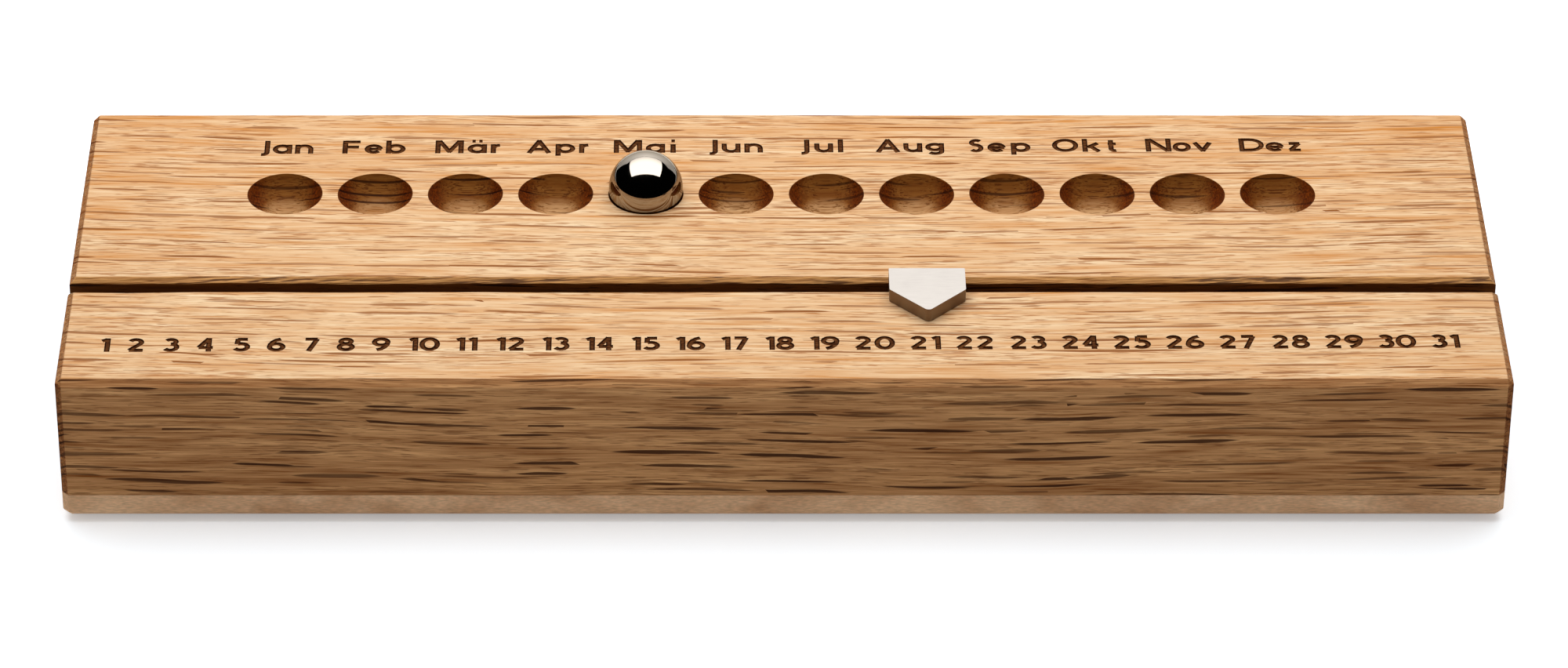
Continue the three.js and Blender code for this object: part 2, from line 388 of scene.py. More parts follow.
def wobble_edge(piece, y, z, amount, along_y):
    """Lets a long edge at this height and depth wander a little, in Y or in Z, but not its ends."""
    edit_edges(piece, lambda a, b: level(a.y, b.y, y) and level(a.z, b.z, z))
    bpy.ops.mesh.subdivide(number_cuts=edge_cuts)
    object_mode()
    points = piece.data.vertices
    on_edge = [point for point in points if level(point.co.y, y, y) and level(point.co.z, z, z)]
    end = max(point.co.x for point in on_edge)
    for point in on_edge:
        if abs(point.co.x) < end - touch:
            shift = noise.noise(Vector((point.co.x / edge_wobble_length, y / mm, z / mm))) * 2 * amount
            if along_y:
                point.co.y += shift
            else:
                point.co.z += shift


def oak_bar(name, low, high, slot_y, outer_y):
    """A bar whose outer edges are chamfered, and whose slot edge has a chamfer with torn fibres."""
    bar = block(name, low, high)

    def outer(start, end):
        upright = level(start.y, end.y, outer_y) and abs(start.z - end.z) > touch
        on_top = level(start.z, end.z, high.z) and not level(start.y, end.y, slot_y)
        return upright or on_top

    chamfer_edges(bar, edge_chamfer, outer)
    chamfer_edges(bar, slot_chamfer, lambda a, b: level(a.z, b.z, high.z) and level(a.y, b.y, slot_y))
    inwards = 1 if outer_y > slot_y else -1
    wobble_edge(bar, slot_y, high.z - slot_chamfer, edge_wobble, along_y=False)
    wobble_edge(bar, slot_y + inwards * slot_chamfer, high.z, edge_wobble, along_y=True)
    wobble_edge(bar, outer_y - inwards * edge_chamfer, high.z, edge_wobble / 2, along_y=True)
    soften(bar, edge_softness)
    return bar


def ray_lines(add, grain, cell, reaches, half_thickness, presence):
    """Lines in millimetres that taper at their ends, one to a cell of the given size along, across and
    into the grain, with half lengths between the two reaches and an uneven thickness."""
    stretched = add("VectorMath", (grain, cell), operation="DIVIDE")
    cells = add("TexVoronoi", {"Vector": stretched, "Scale": 1, "Randomness": 0.85})
    away = add("VectorMath", (stretched, cells.outputs["Position"]), operation="SUBTRACT")
    place = add("VectorMath", (away, cell), operation="MULTIPLY")
    place = add("SeparateXYZ", (place,))
    chance = add("SeparateColor", (cells.outputs["Color"],))
    reach = add("MapRange", (chance.outputs["Green"], 0, 1, *reaches))
    along = add("Math", (place.outputs["X"], reach), operation="DIVIDE")
    fall = add("Math", (along, along), operation="MULTIPLY")
    fall = add("Math", (fall, fall), operation="MULTIPLY")
    taper = add("Math", (1, fall), operation="SUBTRACT")
    thick = add("MapRange", (chance.outputs["Blue"], 0, 1, half_thickness * 0.5, half_thickness))
    uneven = add("MapRange", (blotches(add, grain, (10, 2, 4), 1), 0.3, 0.7, 0.75, 1.2))
    thick = add("Math", (thick, uneven), operation="MULTIPLY")
    half = add("Math", (taper, thick), operation="MULTIPLY")
    across = add("Math", (place.outputs["Y"],), operation="ABSOLUTE")
    inside = add("Math", (half, across), operation="SUBTRACT")
    edge = add("MapRange", (inside, -0.04, 0.08, 0, 1))
    shown = add("MapRange", (chance.outputs["Red"], presence, presence - 0.01, 0, 0.65))
    strength = add("MapRange", (chance.outputs["Red"], presence, 0, 0, 0.35))
    share = add("Math", (shown, strength), operation="ADD")
    return add("Math", (edge, share), operation="MULTIPLY")


def oak(
    name, pale, brown, ray_colour, pore_colour, pore_share, end_colour,
    ray_cell=(31, 3.1, 14), wall_shade_colour=None,
):
    """Oiled rift-sawn oak, as a solid pattern in millimetres with the grain along X: it shows rays as
    dark lines, open pores as dashes, fibres as fine streaks and year bands as soft streaks, and it
    darkens where a face cuts the grain across. Given a wall shade colour, it darkens steep milled walls
    with it as painted shade. Single fibres are too fine to show, so they are drawn in bundles 0.3 mm
    thick. Towards the block's ends and back it is painted browner, as painted shade where the light
    falls off."""
    material, add = new_material(name)
    coordinates = add("TexCoord")
    place = add("VectorMath", (coordinates.outputs["Object"], (mm, mm, mm)), operation="DIVIDE")
    turned = add("Mapping", {"Vector": place, "Rotation": (radians(-45), 0, 0)})
    parts = add("SeparateXYZ", (turned,))
    x = parts.outputs["X"]

    slope = add("Math", (x, 0.0000884, -0.0053), operation="MULTIPLY_ADD")
    bow = add("Math", (slope, x), operation="MULTIPLY")
    slow_wave = add("Math", (blotches(add, turned, (95, 22, 40), 1), 3.6, -1.8), operation="MULTIPLY_ADD")
    quick_wave = add("Math", (blotches(add, turned, (22, 4, 9), 1), 0.8, -0.4), operation="MULTIPLY_ADD")
    waves = add("Math", (slow_wave, quick_wave), operation="ADD")
    shift = add("Math", (waves, bow), operation="SUBTRACT")
    across = add("Math", (parts.outputs["Y"], shift), operation="ADD")
    grain = add("CombineXYZ", (x, across, parts.outputs["Z"]))

    long_rays = ray_lines(add, grain, ray_cell, (ray_cell[0] * 0.2, ray_cell[0] * 0.49), 0.32, 0.86)
    short_rays = ray_lines(add, grain, (17, 2.1, 8), (2.2, 7.5), 0.18, 0.35)
    short_faint = add("Math", (short_rays, 0.7), operation="MULTIPLY")
    rays = add("Math", (long_rays, short_faint), operation="MAXIMUM")

    pore_noise = blotches(add, grain, (5.5, 0.33, 0.33))
    band_noise = blotches(add, grain, (60, 3.2, 5.5))
    pore_bias = add("Math", (band_noise, 0.4, pore_noise), operation="MULTIPLY_ADD")
    pores = add("MapRange", (pore_bias, 0.77, 0.85, 0, 1))

    fibres = blotches(add, grain, (12, 0.3, 0.3))
    strands = blotches(add, grain, (26, 0.9, 1.6))

    # Painted shade: the tone is pulled browner towards the block's ends and back, where the light falls off.
    outward = add("VectorMath", (place, (1 / 170, 1 / 60, 0), (0, 0.4, 0)), operation="MULTIPLY_ADD")
    distance = add("VectorMath", (outward,), operation="LENGTH").outputs["Value"]
    painted_falloff_shade = add("MapRange", (distance, 0.6, 1.4, -0.8, -0.93))
    tone = add("Math", (band_noise, 0.7, painted_falloff_shade), operation="MULTIPLY_ADD")
    tone = add("Math", (strands, 1.0, tone), operation="MULTIPLY_ADD")
    tone = add("Math", (fibres, 0.9, tone), operation="MULTIPLY_ADD")
    wood = add("Mix", {0: tone, 6: linear(brown), 7: linear(pale)})
    pore_dark = add("Math", (pores, pore_share), operation="MULTIPLY")
    wood = add("Mix", {0: pore_dark, 6: wood, 7: linear(pore_colour)})
    ray_share = add("Math", (rays, 0.93), operation="MULTIPLY")
    wood = add("Mix", {0: ray_share, 6: wood, 7: linear(ray_colour)})

    facing = add("SeparateXYZ", (coordinates.outputs["Normal"],))
    sideways = add("Math", (facing.outputs["X"],), operation="ABSOLUTE")
    endwise = add("MapRange", (sideways, 0.45, 0.75, 0, 1))
    end_place = add("VectorMath", (place, (2, 2.2, 2.2)), operation="MULTIPLY")
    end_pores = add("TexNoise", {"Vector": end_place, "Scale": 1, "Detail": 2})
    end_dark = add("MapRange", (end_pores, 0.35, 0.65, 0.45, 1.2))
    end_tint = add("Mix", {0: 1.0, 6: linear(end_colour), 7: end_dark}, blend_type="MULTIPLY")
    wood = add("Mix", {0: endwise, 6: wood, 7: end_tint}, blend_type="MULTIPLY")
    # Painted shade: steep milled walls, such as the wells' upper walls, are darkened by the wall shade
    # colour.
    if wall_shade_colour:
        level_share = add("Math", (facing.outputs["Z"], facing.outputs["Z"]), operation="MULTIPLY")
        steep = add("MapRange", (level_share, 0.92, 0.55, 0, 1))
        wood = add("Mix", {0: steep, 6: wood, 7: linear(wall_shade_colour)}, blend_type="MULTIPLY")

    hollows = add("Math", (pores, rays), operation="MAXIMUM")
    relief = add("Math", (fibres, 0.3, hollows), operation="MULTIPLY_ADD")
    bump = add("Bump", {"Strength": 0.5, "Distance": 0.08 * mm, "Height": relief}, invert=True)
    shader = add("BsdfPrincipled", {
        "Base Color": wood, "Roughness": 0.62, "Specular IOR Level": 0.06, "Normal": bump,
    })
    add("OutputMaterial", (shader,))
    return material


def torn_oak():
    """The slot's chamfer, where the cutter tore the fibres: pale splinters and dark slanting gaps. The
    tear-out is real; the darkness of the gaps and a tone darker than the planed top's are painted shade.
    """
    material, add = new_material("oak_torn_chamfer_painted_shade")
    place = add("TexCoord").outputs["Object"]
    slanted = add("Mapping", {"Vector": place, "Rotation": (0, radians(4), 0)})
    patches = blotches(add, slanted, (22 * mm, 3 * mm, 3 * mm), 1)
    streaks = blotches(add, slanted, (11 * mm, 0.36 * mm, 0.36 * mm), Distortion=0.3)
    gap_sum = add("Math", (patches, 0.9, streaks), operation="MULTIPLY_ADD")
    # Painted shade: the gaps between the torn fibres are darkened in the colour.
    painted_gap_shade = add("MapRange", (gap_sum, 1.04, 1.16, 0, 0.75))
    tone = add("MapRange", (streaks, 0.3, 0.7, 1, 0))
    wood = add("Mix", {0: tone, 6: linear("#a3672a"), 7: linear("#e6aa62")})
    wood = add("Mix", {0: painted_gap_shade, 6: wood, 7: linear("#4c290f")})
    bump = add("Bump", {"Strength": 0.8, "Distance": 0.2 * mm, "Height": gap_sum}, invert=True)
    shader = add("BsdfPrincipled", {
        "Base Color": wood, "Roughness": 0.7, "Specular IOR Level": 0.3, "Normal": bump,
    })
    add("OutputMaterial", (shader,))
    return material


planed_oak = oak("oiled_oak_planed", "#fbe2ba", "#cb8130", "#8a4a08", "#a65c10", 0.65, "#cba983")
# Painted shade: a darker, more orange copy of the oak for the upright faces, with painted warm bounce.
upright_shaded_oak = oak(
    "oiled_oak_upright_painted_shade", "#efb57a", "#7e400b", "#351302", "#5e2c06", 0.45, "#c8a680", ray_cell=(27, 2.2, 14)
)
# Painted shade: a dark copy of the oak for the slot's walls, standing in for the shade deep in the slot.
slot_shade_oak = oak("oak_slot_wall_painted_shade", "#7a4518", "#552d10", "#241206", "#33190a", 0.7, "#a07c58")
torn_shaded_oak = torn_oak()


def finish_faces(bar, slot_y):
    """Pale planed oak on top; a darker, browner copy of it on the sides and their chamfers and a dark copy
    in the slot, both painted shade; torn oak on the slot's chamfer.
    """
    for finish in (planed_oak, upright_shaded_oak, slot_shade_oak, torn_shaded_oak):
        bar.data.materials.append(finish)
    for face in bar.data.polygons:
        near_slot = abs(face.center.y - slot_y) < slot_chamfer
        if face.normal.z > 0.9 or abs(face.normal.y) < 0.3 and face.normal.z > 0.5:
            face.material_index = 0
        elif near_slot and face.normal.z > 0.3:
            face.material_index = 3
        elif near_slot and abs(face.normal.y) > 0.5:
            face.material_index = 2
        else:
            face.material_index = 1


low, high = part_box("front_bar")
front_bar = oak_bar("oak_front_bar", low, high, slot_y=high.y, outer_y=low.y)
finish_faces(front_bar, high.y)
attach(front_bar, "block")
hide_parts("front_bar")

# Rear bar: solid oak behind the slot, from the same plank, glued and chamfered in the same way.
low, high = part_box("rear_bar")
block_top = high.z
rear_bar = oak_bar("oak_rear_bar", low, high, slot_y=low.y, outer_y=high.y)
finish_faces(rear_bar, low.y)
rear_bar_middle_y = (low.y + high.y) / 2
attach(rear_bar, "block")
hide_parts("rear_bar")

# Wells: twelve round seats for the ball, milled into the rear bar with a ball-nosed cutter. Their oak
# is a darker, browner copy of the planed top's, most of all up the steep walls, painted shade inside them.
well_count = 12
well_pitch = 19.35 * mm
well_rim_radius = 8 * mm
well_depth = 6.3 * mm
well_rim_rounding = 0.12 * mm
cutter_overrun = 2 * mm
well_steps = 96


def turned_shape(name, profile, steps, smooth=False):
    """A profile of [radius, height] drawn point by point and spun round the Z axis."""
    deselect()
    bpy.ops.mesh.primitive_plane_add(size=mm)
    shape = bpy.context.object
    shape.name = name
    edit_mode("VERT", "SELECT")
    bpy.ops.mesh.merge(type="CENTER")
    points = [Vector((radius, 0, height)) for radius, height in profile]
    bpy.ops.transform.translate(value=points[0])
    for last, point in zip(points, points[1:]):
        bpy.ops.mesh.extrude_region_move(TRANSFORM_OT_translate={"value": point - last})
    bpy.ops.mesh.select_all(action="SELECT")
    bpy.ops.mesh.spin(steps=steps, angle=2 * pi, center=(0, 0, 0), axis=(0, 0, 1))
    weld(touch / 10, outwards=True)
    if smooth:
        bpy.ops.object.shade_smooth()
    return shape


def well_profile():
    """From the bottom of the well up its round wall, over the rounded rim and up past the top."""
    nose = (well_rim_radius ** 2 + well_depth ** 2) / (2 * well_depth)
    arc_steps = 20
    rim_height = -well_rim_rounding
    nose_to_rim = nose - well_depth - rim_height
    rim_angle = atan2(sqrt(nose ** 2 - nose_to_rim ** 2), nose_to_rim)
    points = []
    for step in range(arc_steps + 1):
        angle = rim_angle * step / arc_steps
        points.append((nose * sin(angle), nose - well_depth - nose * cos(angle)))
    wall = points[-1][0]
    for turn in (30, 60, 90):
        angle = radians(turn)
        out = well_rim_rounding * (1 - cos(angle))
        up = well_rim_rounding * sin(angle)
        points.append((wall + out, rim_height + up))
    edge = points[-1][0]
    return points + [(edge, cutter_overrun), (0, cutter_overrun)]


def copy_at(pattern, name, place):
    """A copy with a mesh of its own, moved to its place in its mesh."""
    copy = pattern.copy()
    copy.data = pattern.data.copy()
    copy.name = name
    copy.data.transform(Matrix.Translation(place))
    bpy.context.scene.collection.objects.link(copy)
    return copy


def place_copies(pattern, places):
    """One object of copies of the pattern, each at its place; the pattern is used up."""
    copies = [copy_at(pattern, pattern.name, place) for place in places]
    bpy.data.objects.remove(pattern)
    pick(copies[0])
    for copy in copies[1:]:
        copy.select_set(True)
    if len(copies) > 1:
        bpy.ops.object.join()
    return copies[0]


# Painted shade: a darker, browner copy of the oak for the wells, darker still on their steep walls.
well_shade_oak = oak(
    "oak_milled_well_painted_shade", "#e4ba86", "#a96d33", "#4a2810", "#85521f", 0.8, "#ddab6a", wall_shade_colour="#b5955e"
)
cutter = turned_shape("well_cutter", well_profile(), well_steps, smooth=True)
cutter.data.materials.append(well_shade_oak)
well_xs = [(index - (well_count - 1) / 2) * well_pitch for index in range(well_count)]
carve(rear_bar, place_copies(cutter, [Vector((x, rear_bar_middle_y, block_top)) for x in well_xs]))

# Labels: the months behind the wells and the days along the front, burnt 0.25 mm deep with a round
# beam. The strokes' edges are scorched dark and their floors are paler and streaky. The work was laid
# a quarter of a degree askew, each month about over its well and the days at nearly even gaps.
stroke_half_share = 0.115
burn_depth = 0.25 * mm
burn_floor_half = 0.31 * mm
burn_edge_half = 0.58 * mm
air_above = 0.3 * mm
uneven_heights = 5
uneven_step = burn_depth / 60
arc_step = radians(18)


def line(*numbers):
    """Points from their X and Y in turn."""
    return list(zip(numbers[::2], numbers[1::2]))


def arc(x, y, reach_x, reach_y, start, end):
    """Points along an ellipse between two angles in degrees."""
    turn = radians(end - start)
    steps = max(2, round(abs(turn) / arc_step))
    angles = [radians(start) + turn * step / steps for step in range(steps + 1)]
    return [(x + reach_x * cos(angle), y + reach_y * sin(angle)) for angle in angles]


def ring(x, y, reach_x, reach_y):
    return arc(x, y, reach_x, reach_y, 0, 360)


# Middle lines of the strokes, as shares of the capitals' height.
stem = line(0.09, 0, 0.09, 1)
bowl = ring(0.38, 0.35, 0.28, 0.26)
a_shares = [ring(0.37, 0.35, 0.28, 0.26), line(0.65, 0.70, 0.65, 0)]
n_shares = [line(0.09, 0, 0.09, 0.70), arc(0.35, 0.36, 0.26, 0.25, 180, 0) + line(0.61, 0)]
letter_shares = {
    "J": [line(0.26, 1) + arc(0.07, 0.10, 0.19, 0.17, 0, -100)],
    "F": [stem, line(0.09, 0.90, 0.68, 0.90), line(0.09, 0.50, 0.63, 0.50)],
    "M": [stem, line(0.14, 0.97, 0.58, 0.07), line(0.51, 0.07, 0.95, 0.97), line(1, 0, 1, 1)],
    "A": [line(0.08, 0, 0.50, 0.99), line(0.45, 0.99, 0.87, 0), line(0.22, 0.30, 0.74, 0.30)],
    "S": [arc(0.29, 0.72, 0.18, 0.18, 35, 270), arc(0.27, 0.31, 0.20, 0.23, 90, -145)],
    "O": [ring(0.51, 0.50, 0.42, 0.40)],
    "N": [stem, line(0.12, 0.96, 0.86, 0.04), line(0.89, 0, 0.89, 1)],
    "D": [stem, line(0.09, 0.90, 0.42, 0.90) + arc(0.42, 0.50, 0.45, 0.40, 90, -90) + line(0.09, 0.10)],
    "a": a_shares,
    "ä": a_shares + [line(0.17, 0.93, 0.30, 0.93), line(0.44, 0.93, 0.57, 0.93)],
    "n": n_shares,
    "u": [line(0.09, 0.70) + arc(0.36, 0.34, 0.27, 0.25, 180, 360), line(0.63, 0.70, 0.63, 0)],
    "b": [stem, bowl],
    "p": [line(0.09, 0.70, 0.09, -0.21), bowl],
    "g": [ring(0.35, 0.39, 0.27, 0.22), line(0.62, 0.70) + arc(0.37, 0.07, 0.25, 0.18, 0, -150)],
    "e": [arc(0.35, 0.35, 0.26, 0.26, 0, 320), line(0.11, 0.34, 0.66, 0.34)],
    "r": [line(0.09, 0, 0.09, 0.70), arc(0.34, 0.36, 0.25, 0.25, 180, 88)],
    "l": [stem],
    "i": [line(0.09, 0, 0.09, 0.66), line(0.02, 0.92, 0.16, 0.92)],
    "k": [stem, line(0.18, 0.34, 0.60, 0.66), line(0.30, 0.42, 0.64, 0.02)],
    "t": [line(0.20, 0.90) + arc(0.34, 0.22, 0.14, 0.13, 180, 292), line(0.08, 0.60, 0.40, 0.60)],
    "o": [ring(0.35, 0.35, 0.26, 0.26)],
    "v": [line(0.07, 0.70, 0.39, 0.02), line(0.35, 0.02, 0.67, 0.70)],
    "z": [line(0.09, 0.60, 0.52, 0.60), line(0.49, 0.61, 0.13, 0.10), line(0.09, 0.10, 0.54, 0.10)],
    "0": [ring(0.39, 0.50, 0.285, 0.40)],
    "1": [line(0.24, 0, 0.24, 1), line(0.23, 0.92, 0.03, 0.80)],
    "2": [arc(0.32, 0.70, 0.21, 0.20, 160, -30) + line(0.10, 0.10), line(0.09, 0.10, 0.61, 0.10)],
    "3": [arc(0.28, 0.73, 0.19, 0.17, 150, -90), arc(0.28, 0.33, 0.23, 0.23, 90, -150)],
    "4": [line(0.45, 0.97, 0.09, 0.29), line(0.09, 0.29, 0.62, 0.29), line(0.46, 0, 0.46, 1)],
    "5": [
        line(0.14, 0.90, 0.52, 0.90), line(0.16, 0.94, 0.14, 0.54), arc(0.28, 0.34, 0.25, 0.24, 120, -150),
    ],
    "6": [ring(0.34, 0.33, 0.25, 0.23), arc(0.58, 0.33, 0.49, 0.59, 100, 180)],
    "7": [line(0.08, 0.90, 0.54, 0.90), line(0.52, 0.92, 0.22, 0)],
    "8": [ring(0.33, 0.73, 0.19, 0.17), ring(0.33, 0.31, 0.24, 0.21)],
    "9": [ring(0.34, 0.67, 0.25, 0.23), arc(0.10, 0.67, 0.49, 0.59, 0, -80)],
}


def ink_span(strokes):
    """The lowest and highest X that a letter's ink reaches, as shares of the capitals' height."""
    reach = [x for stroke in strokes for x, y in stroke]
    return min(reach) - stroke_half_share, max(reach) + stroke_half_share


def word_width(word, reach_x, letter_gap):
    spans = [ink_span(letter_shares[letter]) for letter in word]
    return sum(high - low for low, high in spans) * reach_x + letter_gap * (len(word) - 1)


def set_word(word, reach_x, height, letter_gap, middle):
    """The strokes of a word about its middle, on a baseline at Y zero. A share of one is as long as
    reach_x along X and as the height along Y."""
    pen = middle - word_width(word, reach_x, letter_gap) / 2
    strokes = []
    for letter in word:
        low, high = ink_span(letter_shares[letter])
        for stroke in letter_shares[letter]:
            strokes.append([(pen + (x - low) * reach_x, y * height) for x, y in stroke])
        pen += (high - low) * reach_x + letter_gap
    return strokes


def drawn_curve(name, dimensions, strokes):
    """Straight lines through the points of each stroke; one that ends where it starts is closed."""
    curve = bpy.data.curves.new(name, "CURVE")
    curve.dimensions = dimensions
    for stroke in strokes:
        closed = (Vector(stroke[0]) - Vector(stroke[-1])).length < touch
        points = stroke[:-1] if closed else stroke
        spline = curve.splines.new("POLY")
        spline.points.add(len(points) - 1)
        for point, place in zip(spline.points, points):
            point.co = (*place, 1)
        spline.use_cyclic_u = closed
    drawing = bpy.data.objects.new(name, curve)
    bpy.context.scene.collection.objects.link(drawing)
    return drawing


def burn_section():
    """The closed section that the beam cuts: a narrow floor, leaning sides and a wide top in the air."""
    rise = burn_depth + air_above
    lean = (burn_edge_half - burn_floor_half) / burn_depth
    top_half = burn_floor_half + lean * rise
    floor = [(-burn_floor_half, 0, 0), (burn_floor_half, 0, 0)]
    return drawn_curve("burn_section", "2D", [floor + [(top_half, rise, 0), (-top_half, rise, 0), floor[0]]])


def burning_cutter(name, strokes, section):
    """The section swept along each stroke, as one mesh whose lowest faces are the burnt floor. Strokes
    that cross lie at slightly different heights, so that no two floors are level."""
    strokes = [
        [(x, y, (number % uneven_heights) * uneven_step) for x, y in stroke]
        for number, stroke in enumerate(strokes)
    ]
    cutter = drawn_curve(name, "3D", strokes)
    cutter.data.twist_mode = "Z_UP"
    cutter.data.bevel_mode = "OBJECT"
    cutter.data.bevel_object = section
    cutter.data.use_fill_caps = True
    pick(cutter)
    bpy.ops.object.convert(target="MESH")
    edit_mode()
    weld(touch / 10, outwards=True)
    cutter.data.materials.append(scorched_oak)
    cutter.data.materials.append(burnt_floor)
    for face in cutter.data.polygons:
        face.material_index = 1 if face.normal.z < -0.9 else 0
        face.use_smooth = False
    return cutter


def burnt(name, dark, light, share):
    """Wood burnt by a beam: charred brown, streaked along the grain where less of it has gone."""
    material, add = new_material(name)
    place = add("TexCoord").outputs["Object"]
    streaks = blotches(add, place, (1.4 * mm, 0.3 * mm, 0.3 * mm))
    mix = add("MapRange", (streaks, 0.35, 0.65, 0, share))
    colour = add("Mix", {0: mix, 6: linear(dark), 7: linear(light)})
    bump = add("Bump", {"Strength": 0.5, "Distance": 0.06 * mm, "Height": streaks})
    shader = add("BsdfPrincipled", {
        "Base Color": colour, "Roughness": 0.8, "Specular IOR Level": 0.02, "Normal": bump,
    })
    add("OutputMaterial", (shader,))
    return material


scorched_oak = burnt("oak_scorched", "#240d03", "#42210b", 0.6)
burnt_floor = burnt("oak_burnt_floor", "#331404", "#85522a", 0.6)
section = burn_section()

# Each month with how far it stands off its well's middle and the gap between its letters, in mm.
months = [
    ("Jan", -0.7, 0.5), ("Feb", -1.0, 0.25), ("Mär", 0.2, 0.7), ("Apr", 0.3, 0.7),
    ("Mai", -0.2, 0.65), ("Jun", -0.2, 0.7), ("Jul", -0.9, 0.9), ("Aug", -1.0, 0.5),
    ("Sep", -0.8, 0.7), ("Okt", -1.6, 0.7), ("Nov", -0.6, 0.15), ("Dez", 0, 0.15),
]
month_height = 5.2 * mm
month_reach_x = 5.5 * mm
month_baseline_y = 35.56 * mm
month_tilt = radians(0.262)
strokes = []
for (word, off, letter_gap), well_x in zip(months, well_xs):
    strokes += set_word(word, month_reach_x, month_height, letter_gap * mm, well_x + off * mm)
cutter = burning_cutter("month_cutter", strokes, section)
cutter.location = (0, month_baseline_y, block_top - burn_depth)
cutter.rotation_euler.z = month_tilt
carve(rear_bar, cutter, overlapping=True)

day_words = [str(day) for day in range(1, 32)]
day_height = 4.9 * mm
day_reach_x = 5.55 * mm
day_letter_gap = 0.1 * mm
day_gap_more_after_one_digit = 0.5 * mm
day_row_start = -141.8 * mm
day_row_end = 140.1 * mm
days_off_to_the_right = range(12, 25)
day_off = 0.6 * mm
day_baseline_y = -40.3 * mm
day_tilt = radians(0.296)
widths = [word_width(word, day_reach_x, day_letter_gap) for word in day_words]
days_with_one_digit = 9
day_gaps_length = day_row_end - day_row_start - sum(widths)
day_gaps_length -= days_with_one_digit * day_gap_more_after_one_digit
day_gap = day_gaps_length / (len(day_words) - 1)
strokes = []
pen = day_row_start
for word, width in zip(day_words, widths):
    off = day_off if int(word) in days_off_to_the_right else 0
    strokes += set_word(word, day_reach_x, day_height, day_letter_gap, pen + width / 2 + off)
    pen += width + day_gap + (day_gap_more_after_one_digit if len(word) == 1 else 0)
cutter = burning_cutter("day_cutter", strokes, section)
cutter.location = (0, day_baseline_y, block_top - burn_depth)
cutter.rotation_euler.z = day_tilt
carve(front_bar, cutter, overlapping=True)
bpy.data.objects.remove(section)

# Base screws: eight 3 x 16 mm countersunk wood screws of zinc-plated steel with a cross recess. They
# are driven from below through the base plate into the bars, and lie a little below its face.
screw_names = [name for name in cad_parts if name.startswith("base_screw_")]
screw_shank_radius = 1.5 * mm
screw_head_radius = 3 * mm
screw_head_rim = 0.3 * mm
screw_head_height = 1.8 * mm
screw_length = 16 * mm
screw_point_length = 3 * mm
screw_core_radius = 1 * mm
screw_neck_radius = 1.2 * mm
screw_rim_rounding = 0.08 * mm
thread_pitch = 1.35 * mm
thread_start = 4.6 * mm
thread_root_half = 0.36 * mm
screw_clearance = 0.3 * mm
screw_smooth_angle = radians(35)
recess_reach = 1.6 * mm
recess_half = 0.35 * mm
recess_depth = 1 * mm
screw_steps = 48


def screw_hole_profile():
    """The countersink and the hole that the screw is driven into, with its clearance."""
    head = screw_head_radius + screw_clearance
    shank = screw_shank_radius + screw_clearance
    shoulder = screw_length - screw_point_length + screw_clearance
    return [
        (0, -cutter_overrun),
        (head, -cutter_overrun),
        (head, screw_head_rim),
        (shank, screw_head_height),
        (shank, shoulder),
        (0, screw_length + screw_clearance),
    ]


def wood_screw(material):
    """A countersunk head, a plain neck, a core that runs out in a point, and a thread wound round it."""
    screw = turned_shape("wood_screw", [
        (0, 0),
        (screw_head_radius - screw_rim_rounding, 0),
        (screw_head_radius, screw_rim_rounding),
        (screw_head_radius, screw_head_rim),
        (screw_neck_radius, screw_head_height),
        (screw_neck_radius, thread_start),
        (screw_core_radius, thread_start + screw_neck_radius - screw_core_radius),
        (screw_core_radius, screw_length - screw_point_length),
        (0, screw_length),
    ], screw_steps)
    screw.data.materials.append(material)
    for start, end in (
        ((-recess_reach, -recess_half), (recess_reach, recess_half)),
        ((-recess_half, -recess_reach), (recess_half, recess_reach)),
    ):
        arm = block("recess_arm", Vector((*start, -recess_depth)), Vector((*end, recess_depth)))
        carve(screw, arm)

    deselect()
    bpy.ops.mesh.primitive_circle_add(vertices=3, radius=thread_root_half, rotation=(pi / 2, 0, 0))
    thread = bpy.context.object
    bpy.ops.object.transform_apply()
    root = screw_core_radius - thread_root_half / 3
    section = [(root, -thread_root_half), (screw_shank_radius, 0), (root, thread_root_half)]
    for point, (radius, height) in zip(thread.data.vertices, section):
        point.co = (radius, 0, thread_start + thread_root_half + height)
    turns = int((screw_length - thread_start) / thread_pitch) - 1
    winding = thread.modifiers.new("winding", "SCREW")
    winding.angle = 2 * pi
    winding.iterations = turns
    winding.screw_offset = thread_pitch
    winding.steps = winding.render_steps = screw_steps // 2
    winding.use_normal_calculate = True
    apply_modifier(thread, winding)
    edit_mode("EDGE")
    bpy.ops.mesh.select_non_manifold()
    bpy.ops.mesh.fill()
    bpy.ops.mesh.select_all(action="SELECT")
    bpy.ops.mesh.normals_make_consistent(inside=False)
    object_mode()
    point_start = screw_length - screw_point_length
    for point in thread.data.vertices:
        share = min(1, (screw_length - point.co.z) / screw_point_length)
        if point.co.z > point_start:
            point.co.x *= share
            point.co.y *= share
    pick(screw)
    thread.select_set(True)
    bpy.ops.object.join()
    bpy.ops.object.shade_smooth_by_angle(angle=screw_smooth_angle)
    return screw


def zinc_steel():
    """Zinc-plated steel: a pale grey metal with a slightly cloudy, half matt gloss."""
    material, add = new_material("zinc_plated_steel")
    place = add("TexCoord").outputs["Object"]
    clouds = add("TexNoise", {"Vector": place, "Scale": 1 / (0.8 * mm), "Detail": 3})
    colour = add("Mix", {0: clouds, 6: linear("#a9aaa6"), 7: linear("#c4c6c6")})
    gloss = add("MapRange", (clouds, 0.3, 0.7, 0.28, 0.48))
    shader = add("BsdfPrincipled", {"Base Color": colour, "Metallic": 1, "Roughness": gloss})
    add("OutputMaterial", (shader,))
    return material


